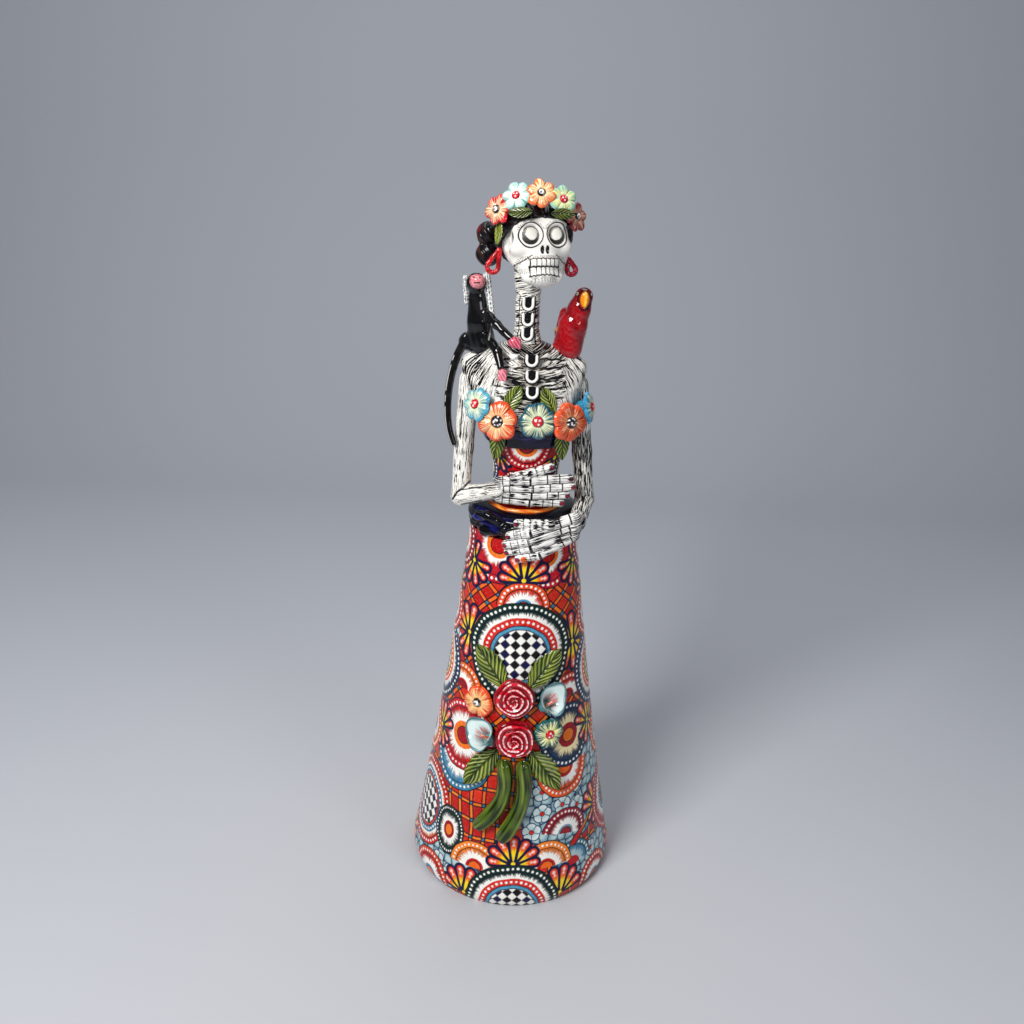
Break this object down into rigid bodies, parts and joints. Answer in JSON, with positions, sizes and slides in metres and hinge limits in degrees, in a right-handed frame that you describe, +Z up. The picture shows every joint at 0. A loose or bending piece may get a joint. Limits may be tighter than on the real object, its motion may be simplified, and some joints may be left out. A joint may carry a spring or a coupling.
{
  "type": "catrina figure",
  "caption": "Standing ceramic skeleton figure in a conical painted skirt, hands crossed, with shoulder animals, flowers and a head that lifts out and turns.",
  "frame": {"origin": "centre of the foot ring, on the surface the figure stands on", "axes": "+Z up, +X towards the figure's own left hand, front of the figure towards -Y"},
  "size_m": [0.2726, 0.2726, 0.9015],
  "materials": {
    "painted_glaze": "glossy clear glaze over a hand-painted pattern with raised slip outlines and dots",
    "navy_glaze": "glossy flooded navy glaze with small white slip dots",
    "orange_glaze": "glossy orange glaze",
    "red_glaze": "glossy red glaze, darker where it pools",
    "bone_glaze": "glossy white glaze with fine black brush hatching",
    "blue_petal_glaze": "glossy pale blue petals with radial brush strokes, teal rims",
    "coral_petal_glaze": "glossy coral petals with cream radial strokes, orange rims",
    "mint_petal_glaze": "glossy mint and white petals with green radial strokes",
    "pink_petal_glaze": "glossy pink-red petals with cream radial strokes",
    "flower_eye_glaze": "glossy red centre with white slip dots",
    "leaf_glaze": "glossy olive green, darker along the incised veins",
    "black_glaze": "deep glossy black glaze",
    "grey_fur_glaze": "glossy white with grey hair strokes",
    "pink_skin_glaze": "glossy pink with darker marks",
    "beak_glaze": "glossy orange with a dark edge",
    "rose_glaze": "glossy crimson with pale brush lines along the petal edges",
    "calla_glaze": "glossy pale blue-green, streaked",
    "hair_glaze": "glossy black, brown where the relief is rubbed",
    "raw_clay": "unglazed fired clay"
  },
  "bodies": {
    "figure": {"skirt_shell": "painted_glaze", "waist_sash": "navy_glaze", "waist_trim": "orange_glaze", "bodice_shell": "painted_glaze", "neckline_band": "navy_glaze", "torso_shell": "bone_glaze", "right_upper_arm": "bone_glaze", "right_forearm": "bone_glaze", "right_hand": "bone_glaze", "right_fingers": "bone_glaze", "left_upper_arm": "bone_glaze", "left_forearm": "bone_glaze", "left_hand": "bone_glaze", "left_fingers": "bone_glaze", "chest_vertebrae": "bone_glaze", "chest_flower_1": "blue_petal_glaze", "chest_flower_2": "coral_petal_glaze", "chest_flower_3": "blue_petal_glaze", "chest_flower_4": "coral_petal_glaze", "chest_flower_5": "blue_petal_glaze", "chest_flower_centres": "flower_eye_glaze", "chest_leaves": "leaf_glaze", "monkey_body": "black_glaze", "monkey_head": "black_glaze", "monkey_face": "pink_skin_glaze", "monkey_mane": "grey_fur_glaze", "monkey_arms": "black_glaze", "monkey_paws": "pink_skin_glaze", "monkey_tail": "black_glaze", "parrot_body": "red_glaze", "parrot_wings": "red_glaze", "parrot_beak": "beak_glaze", "rose_upper": "rose_glaze", "rose_lower": "rose_glaze", "skirt_coral_flower": "coral_petal_glaze", "skirt_yellow_flower": "mint_petal_glaze", "skirt_flower_centres": "flower_eye_glaze", "calla_left": "calla_glaze", "calla_right": "calla_glaze", "calla_spadices": "pink_skin_glaze", "bouquet_leaves": "leaf_glaze", "bouquet_stems": "leaf_glaze"},
    "neck_spigot": {"neck_spigot": "raw_clay"},
    "head": {"neck_column": "bone_glaze", "neck_vertebrae": "bone_glaze", "skull": "bone_glaze", "hair_cap": "hair_glaze", "hair_bun": "hair_glaze", "crown_flower_1": "pink_petal_glaze", "crown_flower_2": "mint_petal_glaze", "crown_flower_3": "coral_petal_glaze", "crown_flower_4": "mint_petal_glaze", "crown_flower_5": "pink_petal_glaze", "crown_flower_centres": "flower_eye_glaze", "crown_leaves": "leaf_glaze", "right_earring": "red_glaze", "left_earring": "red_glaze"}
  },
  "joints": [
    {"name": "head_lift", "type": "slide", "parent": "figure", "child": "neck_spigot", "axis": [0, 0, 1], "range_m": [0, 0.12]},
    {"name": "head_turn", "type": "hinge", "parent": "neck_spigot", "child": "head", "pos_m": [-0.006, -0.008, 0.7223], "axis": [0, 0, 1], "range_deg": [-90, 90]}
  ]
}
